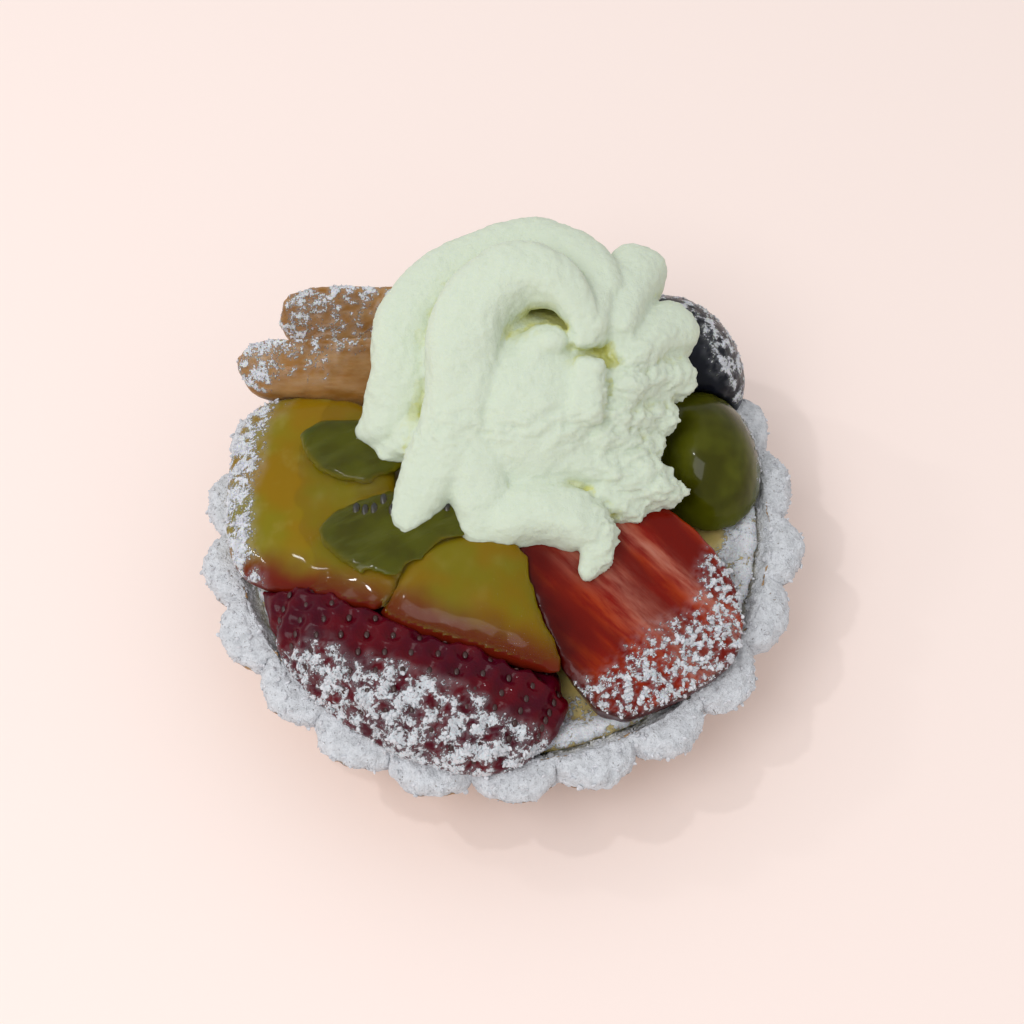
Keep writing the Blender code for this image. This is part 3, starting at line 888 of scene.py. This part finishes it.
note(cream, "sugar", np.zeros(len(places)))
served(cream, food("whipped_cream", cream_look, 0.2, (1.0, 0.9, 0.6)), "whipped_cream", "cream_rosette")

# ---------------------------------------------------------------- icing sugar
# Sieved icing sugar lies loose on the rim and the outer fruit. On the fine coat that those pieces already
# show rest separate grains, and small clots where the sugar was damp.

SUGAR_GRAIN = (0.74, 0.75, 0.79)
FULL_TURN = 6.28
GRAIN_SPREAD = 0.25


def scatter_nodes(detail, material):
    """A Geometry Nodes group that puts a grain of random size and turn at each point."""
    tree, (points, smallest, largest) = points_group("grains", "Smallest", "Largest")
    ball = tree.node("GeometryNodeMeshIcoSphere", {"Radius": 1.0, "Subdivisions": detail})
    width = tree.node("FunctionNodeRandomValue", {2: smallest, 3: largest, "Seed": 2}, output=1)
    length = tree.node("FunctionNodeRandomValue", {2: smallest, 3: largest, "Seed": 3}, output=1)
    size = tree.node("ShaderNodeCombineXYZ", {0: width, 1: length, 2: smallest})
    sockets = {0: (0.0, 0.0, 0.0), 1: (FULL_TURN, FULL_TURN, FULL_TURN), "Seed": 4}
    turn = tree.node("FunctionNodeRandomValue", sockets, data_type="FLOAT_VECTOR")
    return lay_copies(tree, points, ball, turn, size, material)


def scatter(name, counts, smallest, largest, detail, least, material, seed):
    """A piece of grains, counts of them on each named piece, where it has at least so much sugar."""
    draw = np.random.default_rng(seed)
    spots = []
    for piece_name, count in counts.items():
        piece = bpy.data.objects[piece_name]
        places, normals = shape_of(piece)
        sugar = np.empty(len(places), np.float32)
        piece.data.attributes["sugar"].data.foreach_get("value", sugar)
        weight = np.where(sugar > least, sugar**2, 0.0).astype(float) + 1e-9
        chosen = draw.choice(len(places), count, p=weight / weight.sum())
        jitter = draw.uniform(-GRAIN_SPREAD, GRAIN_SPREAD, (count, 3))
        jitter -= normals[chosen] * (jitter * normals[chosen]).sum(1)[:, None]
        spots.append(places[chosen] + jitter + normals[chosen] * 0.3 * smallest)
    mesh = bpy.data.meshes.new(name)
    mesh.from_pydata([tuple(p) for p in np.concatenate(spots) * MM], [], [])
    piece = as_object(name, mesh)
    lay = piece.modifiers.new("grains", "NODES")
    lay.node_group = scatter_nodes(detail, material)
    set_inputs(lay, smallest=smallest * MM, largest=largest * MM)
    plain(piece)
    return piece


sugar_grain = plain_material("icing_sugar", SUGAR_GRAIN, 0.95)
FINE_GRAINS = {
    "tart_shell": 4800, "strawberry_half_skin": 1400, "strawberry_half_cut": 1000, "golden_slice_broad": 500,
    "peach_slice_rear": 150, "peach_slice_fore": 200, "grape_half_black": 300, "grape_half_green": 250,
    "custard_filling": 700,
}
CLOTS = {
    "tart_shell": 900, "strawberry_half_skin": 260, "strawberry_half_cut": 160, "golden_slice_broad": 50,
    "custard_filling": 100,
}
fine = scatter("icing_sugar_grains", FINE_GRAINS, 0.08, 0.22, 1, 0.4, sugar_grain, 21)
served(fine, sugar_grain, None)
clots = scatter("icing_sugar_clots", CLOTS, 0.2, 0.5, 2, 0.6, sugar_grain, 22)
served(clots, sugar_grain, None)

# ---------------------------------------------------------------- table, light and camera
# A plain pale table, a large soft lamp high at the front left, two small ones on the left for the wet glints,
# and even light from all round.

TABLE = (0.93, 0.79, 0.74)
TABLE_GLOW = 0.11
# name, direction from the tart, distance, width and height in metres, and watts
LAMPS = (
    ("key", (-0.36, -0.42, 0.84), 0.7, 0.30, 0.30, 1.35),
    ("glint", (-0.45, -0.05, 0.89), 0.6, 0.02, 0.02, 0.32),
    ("edge_glint", (-0.70, 0.20, 0.68), 0.6, 0.012, 0.06, 0.15),
)
ROOM_LIGHT = 0.66
VIEW_ELEVATION = math.radians(57.8)
VIEW_DISTANCE = 0.300
VIEW_AIM = Vector((0.00132, 0.00141, 0.020))
LENS = 70.2

bpy.ops.mesh.primitive_plane_add(size=6.0, location=(0, 0, 0))
table = bpy.context.object
table.name = "table"
table_material = bpy.data.materials.new("pale_table")
table_material.use_nodes = True
tree = Tree(table_material.node_tree)
shader = table_material.node_tree.nodes["Principled BSDF"]
shader.inputs["Base Color"].default_value = (*TABLE, 1.0)
shader.inputs["Roughness"].default_value = 0.9
shader.inputs["Emission Color"].default_value = (*TABLE, 1.0)
path = table_material.node_tree.nodes.new("ShaderNodeLightPath")
seen = sum(Wire(tree, path.outputs[f"Is {kind} Ray"]) for kind in ("Camera", "Glossy", "Transmission"))
tree.feed(shader.inputs["Emission Strength"], seen.math("MINIMUM", 1.0) * TABLE_GLOW)
table.data.materials.append(table_material)


def lamp(name, direction, distance, width, height, power):
    light = bpy.data.lights.new(name, "AREA")
    light.shape = "RECTANGLE"
    light.size = width
    light.size_y = height
    light.energy = power
    body = bpy.data.objects.new(name, light)
    bpy.context.scene.collection.objects.link(body)
    away = Vector(direction).normalized()
    body.location = VIEW_AIM + away * distance
    body.rotation_mode = "QUATERNION"
    body.rotation_quaternion = away.to_track_quat("Z", "Y")


for settings in LAMPS:
    lamp(*settings)
world = bpy.data.worlds.new("room")
world.use_nodes = True
world.node_tree.nodes["Background"].inputs["Color"].default_value = (1, 1, 1, 1)
world.node_tree.nodes["Background"].inputs["Strength"].default_value = ROOM_LIGHT
bpy.context.scene.world = world

lens = bpy.data.cameras.new("view")
lens.lens = LENS
lens.sensor_width = 36
lens.clip_start = 0.01
view = bpy.data.objects.new("view", lens)
bpy.context.scene.collection.objects.link(view)
toward = Vector((0, -math.cos(VIEW_ELEVATION), math.sin(VIEW_ELEVATION)))
view.location = VIEW_AIM + toward * VIEW_DISTANCE
view.rotation_mode = "QUATERNION"
view.rotation_quaternion = toward.to_track_quat("Z", "Y")
bpy.context.scene.camera = view
